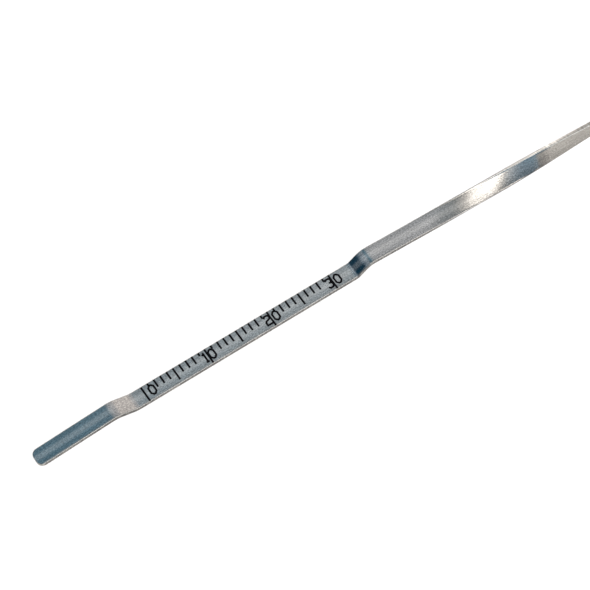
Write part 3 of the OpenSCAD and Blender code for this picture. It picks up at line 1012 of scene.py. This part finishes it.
def build_world():
    """The room, as the steel reflects it; the camera sees white, and diffuse light is even."""
    world = bpy.data.worlds.new("studio")
    bpy.context.scene.world = world
    n = Nodes(world)
    coords = n.add("ShaderNodeTexCoord")
    split = n.add("ShaderNodeSeparateXYZ")
    n.link(coords.outputs["Generated"], split.inputs[0])
    x = n.math("MULTIPLY_ADD", split.outputs[0], 0.5)
    x.node.inputs[2].default_value = 0.5
    # Left to right, as the strip's flats and bends see the room behind and above
    room = n.ramp(x, [
        (0.0, (0.0, 0.05, 0.12)), (0.125, (0.0, 0.07, 0.15)), (0.17, (0.16, 0.28, 0.42)),
        (0.22, (0.40, 0.54, 0.70)), (0.355, (0.56, 0.70, 0.87)), (0.43, (0.34, 0.52, 0.69)),
        (0.475, (0.20, 0.41, 0.59)), (0.53, (0.20, 0.41, 0.59)), (0.59, (0.58, 0.72, 0.86)),
        (0.61, (0.68, 0.83, 0.97)), (0.70, (0.87, 0.94, 1.05)), (0.80, (1.0, 1.05, 1.14)),
        (0.86, (1.38, 1.36, 1.39)),
    ], ease="LINEAR")
    # The soft box overhead in front, and the dark blue wall below it
    down = n.math("MULTIPLY", split.outputs[1], -1.0)
    front = n.ramp(down, [
        (0.0, (0.56, 0.64, 0.72)), (0.09, (0.60, 0.66, 0.71)), (0.16, (0.90, 0.93, 0.96)),
        (0.23, (1.35, 1.35, 1.35)), (0.31, (2.6, 2.6, 2.6)), (0.45, (3.2, 3.2, 3.2)),
        (0.58, (4.0, 4.0, 4.1)), (0.64, (3.0, 3.0, 3.0)), (0.69, (1.9, 1.88, 1.86)),
        (0.735, (1.0, 1.07, 1.15)), (0.80, (0.80, 0.93, 1.07)), (0.86, (0.46, 0.62, 0.79)),
        (0.93, (0.38, 0.56, 0.74)), (0.97, (0.22, 0.39, 0.54)),
    ], ease="LINEAR")
    beside = n.times(n.span(split.outputs[0], -0.45, -0.1), n.span(split.outputs[0], 0.6, 0.8, 1.0, 0.0))
    front = n.mix(beside, (0.34, 0.42, 0.50, 1), front)
    sky = n.mix(n.span(down, -0.20, -0.05), room, front)
    behind = n.ramp(split.outputs[1], [
        (0.5, (0.7, 0.7, 0.7)), (0.74, (0.8, 0.8, 0.8)), (0.82, (1.1, 1.1, 1.1)), (0.95, (3.0, 3.0, 3.0)),
    ], ease="LINEAR")
    sky = n.mix(n.span(split.outputs[1], 0.48, 0.6), sky, behind)
    path = n.add("ShaderNodeLightPath")
    seen = n.mix(path.outputs["Is Camera Ray"], sky, grey(1.0))
    seen = n.mix(path.outputs["Is Diffuse Ray"], seen, grey(0.35))
    background = n.add("ShaderNodeBackground")
    n.link(seen, background.inputs["Color"])
    background.inputs["Strength"].default_value = 1.0
    out = n.add("ShaderNodeOutputWorld")
    n.link(background.outputs[0], out.inputs["Surface"])


def area_light(name, place, aim, size, power):
    """A soft light that the steel doesn't mirror; the world holds what it mirrors."""
    light = bpy.data.lights.new(name, "AREA")
    light.shape = "RECTANGLE"
    light.size, light.size_y = size
    light.energy = power
    obj = bpy.data.objects.new(name, light)
    bpy.context.scene.collection.objects.link(obj)
    obj.location = place
    obj.rotation_euler = (Vector(aim) - Vector(place)).to_track_quat("-Z", "Y").to_euler()
    obj.visible_glossy = False
    return light


def build_lights():
    build_world()
    aim = Vector((ZERO_X + 0.055, 0, SHANK_Z))
    area_light("key", aim + Vector((0.36, -0.52, 0.85)), aim, (0.60, 0.46), 2.0)
    fill = area_light("fill", aim + Vector((0.0, 0.0, 1.6)), aim, (2.4, 2.4), 34.0)
    fill.use_shadow = False


# The camera, from the zero line at the strip's centre
CAMERA_FROM_ZERO = Vector((-62.81, -128.33, 298.84)) * MM
CAMERA_LOOKS = Vector((0.25953, 0.38437, -0.88595))
LENS_MM = 152.54
SENSOR_MM = 36.0


def build_camera():
    data = bpy.data.cameras.new("camera")
    data.lens = LENS_MM
    data.sensor_width = SENSOR_MM
    data.clip_start = 0.01
    data.clip_end = 20.0
    cam = bpy.data.objects.new("camera", data)
    bpy.context.scene.collection.objects.link(cam)
    cam.location = Vector((ZERO_X, 0, FLAT_TOP - STRIP_T / 2)) + CAMERA_FROM_ZERO
    cam.rotation_euler = CAMERA_LOOKS.to_track_quat("-Z", "Y").to_euler()
    bpy.context.scene.camera = cam


def paint(node, mat):
    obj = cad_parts[node]
    obj.data.materials.clear()
    obj.data.materials.append(mat)


build_camera()
bpy.context.scene.view_settings.view_transform = "Standard"
build_floor()
build_lights()
steel = strip_steel()
ink = scale_ink()
brass = turned_metal("ring_brass", (0.42, 0.28, 0.11), (0.62, 0.46, 0.22), 0.22, 0.36)
turned_steel = turned_metal("turned_steel", (0.42, 0.42, 0.43), (0.58, 0.58, 0.58), 0.2, 0.34)
black = turned_metal("black_steel", (0.03, 0.03, 0.032), (0.07, 0.07, 0.075), 0.3, 0.45)
nylon = plastic("pad_nylon", (0.62, 0.60, 0.55), (0.72, 0.70, 0.66), 0.4, 0.55, 3.0)
moulded = plastic("handle_plastic", (0.012, 0.0125, 0.014), (0.02, 0.021, 0.023), 0.42, 0.58, 6.0)
build_blade(steel)
build_ring(brass)
build_ferrule(turned_steel)
handle = Handle()
shell_rings = handle.shell_rings()
build_shell(handle, shell_rings, "shell_top", "handle_top", 1, insert_pocket(), moulded)
build_shell(handle, shell_rings, "shell_bottom", "handle_bottom", -1, screw_pocket(), moulded)
build_screws(handle, turned_steel)
for name in SCALE_NODES + SETTING_NODES:
    paint(name, ink)
for name, mat in (
    ("friction_pad", nylon), ("pad_spring", turned_steel), ("grub_screw", black), ("tang_pin", turned_steel),
    ("screw_inserts", brass),
):
    paint(name, mat)
